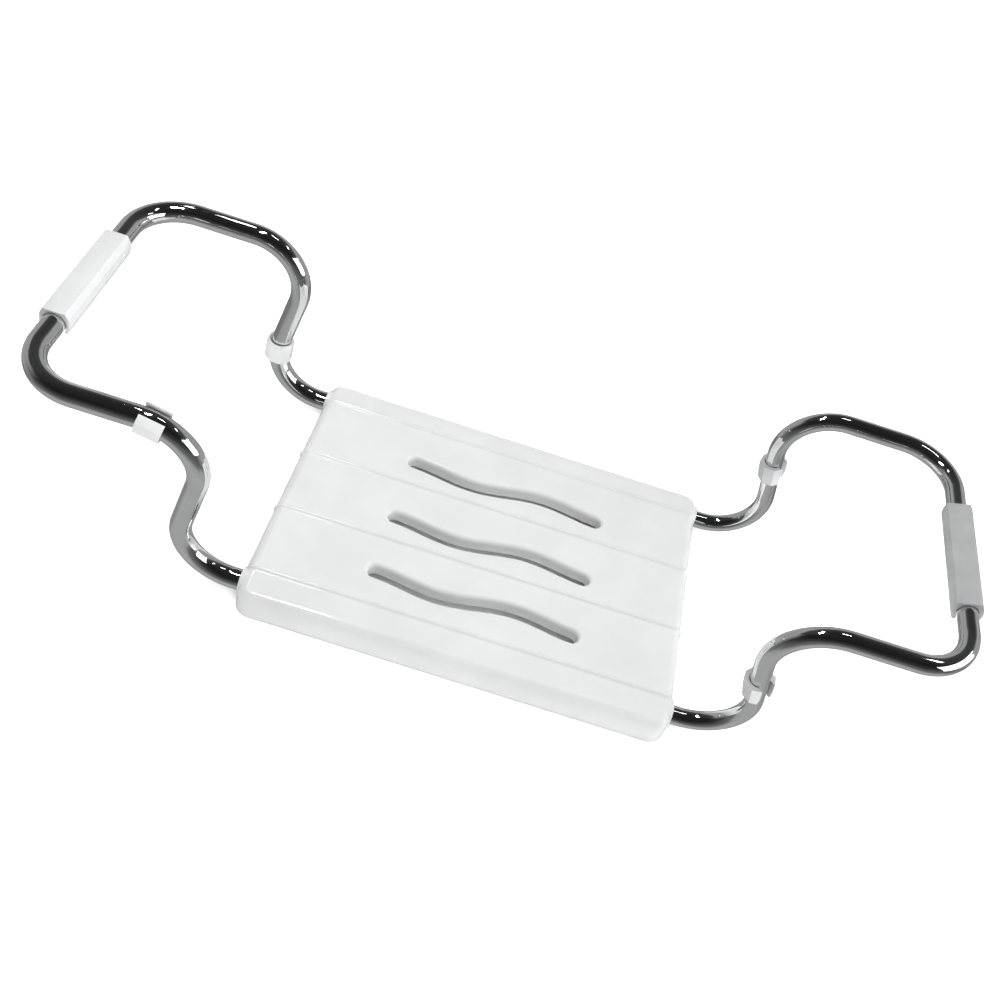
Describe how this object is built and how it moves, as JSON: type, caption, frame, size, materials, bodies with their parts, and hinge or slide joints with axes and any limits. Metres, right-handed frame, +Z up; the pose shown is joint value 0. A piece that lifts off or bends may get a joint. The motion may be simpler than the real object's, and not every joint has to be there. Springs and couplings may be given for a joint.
{
  "type": "bath board",
  "caption": "Moulded seat with wavy drain slots, hung between two bent tube frames that telescope; hand grips on the crossbars and rim clips on the risers.",
  "frame": {"origin": "under the middle of the seat, level with the lower edge of its skirt", "axes": "+X along the seat towards the sliding frame, +Y from the near side to the far side, +Z up"},
  "size_m": [0.7565, 0.279, 0.188],
  "materials": {
    "white_abs": "smooth glossy white ABS",
    "white_nylon": "satin white nylon",
    "chrome_tube": "bright chrome plate on steel tube",
    "zinc_steel": "bright zinc plate",
    "grey_plastic": "satin grey moulding",
    "brass": "turned brass"
  },
  "bodies": {
    "board": {"seat_board": "white_abs", "left_frame_tube": "chrome_tube", "left_grip": "white_abs", "near_guide_bush": "white_nylon", "far_guide_bush": "white_nylon", "near_left_saddle": "white_nylon", "near_left_saddle_screw_1": "zinc_steel", "near_left_saddle_screw_2": "zinc_steel", "near_right_saddle": "white_nylon", "near_right_saddle_screw_1": "zinc_steel", "near_right_saddle_screw_2": "zinc_steel", "far_left_saddle": "white_nylon", "far_left_saddle_screw_1": "zinc_steel", "far_left_saddle_screw_2": "zinc_steel", "far_right_saddle": "white_nylon", "far_right_saddle_screw_1": "zinc_steel", "far_right_saddle_screw_2": "zinc_steel", "near_stop_screw": "zinc_steel", "far_stop_screw": "zinc_steel", "near_clamp_nut": "chrome_tube", "far_clamp_nut": "chrome_tube"},
    "sliding_frame": {"right_frame_tube": "chrome_tube", "right_grip": "white_abs", "near_leg_plug": "grey_plastic", "far_leg_plug": "grey_plastic"},
    "near_pad": {"near_clamp_pad": "brass"},
    "far_pad": {"far_clamp_pad": "brass"},
    "near_knob": {"near_clamp_stud": "zinc_steel", "near_clamp_knob": "grey_plastic"},
    "far_knob": {"far_clamp_stud": "zinc_steel", "far_clamp_knob": "grey_plastic"},
    "left_near_clip": {"left_near_rim_clip": "white_abs"},
    "left_far_clip": {"left_far_rim_clip": "white_abs"},
    "right_near_clip": {"right_near_rim_clip": "white_abs"},
    "right_far_clip": {"right_far_rim_clip": "white_abs"}
  },
  "joints": [
    {"name": "frame_slide", "type": "slide", "parent": "board", "child": "sliding_frame", "axis": [1, 0, 0], "range_m": [-0.006, 0.08]},
    {"name": "near_pad_travel", "type": "slide", "parent": "board", "child": "near_pad", "axis": [0, 1, 0], "range_m": [0, 0.002]},
    {"name": "near_knob_turn", "type": "hinge", "parent": "near_pad", "child": "near_knob", "pos_m": [0.135, -0.092, 0.01339], "axis": [0, 1, 0], "range_deg": [0, 720]},
    {"name": "far_pad_travel", "type": "slide", "parent": "board", "child": "far_pad", "axis": [0, -1, 0], "range_m": [0, 0.002]},
    {"name": "far_knob_turn", "type": "hinge", "parent": "far_pad", "child": "far_knob", "pos_m": [0.135, 0.092, 0.01339], "axis": [0, -1, 0], "range_deg": [0, 720]},
    {"name": "left_near_clip_turn", "type": "hinge", "parent": "board", "child": "left_near_clip", "pos_m": [-0.26132, -0.12093, 0.17357], "axis": [-0.972, -0.0087, 0.235], "range_deg": [-25, 25]},
    {"name": "left_far_clip_turn", "type": "hinge", "parent": "board", "child": "left_far_clip", "pos_m": [-0.23889, 0.11678, 0.06149], "axis": [-0.0469, -0.037, -0.9982], "range_deg": [-25, 25]},
    {"name": "right_near_clip_slide", "type": "slide", "parent": "sliding_frame", "child": "right_near_clip", "axis": [-0.2197, -0.0361, 0.9749], "range_m": [-0.009, 0.021]},
    {"name": "right_far_clip_slide", "type": "slide", "parent": "sliding_frame", "child": "right_far_clip", "axis": [-0.2197, 0.0361, 0.9749], "range_m": [-0.022, 0.008]}
  ],
  "couplings": [
    {"joint": "near_pad_travel", "follows": "near_knob_turn", "m_per_rad": 0.00015915},
    {"joint": "far_pad_travel", "follows": "far_knob_turn", "m_per_rad": 0.00015915}
  ]
}
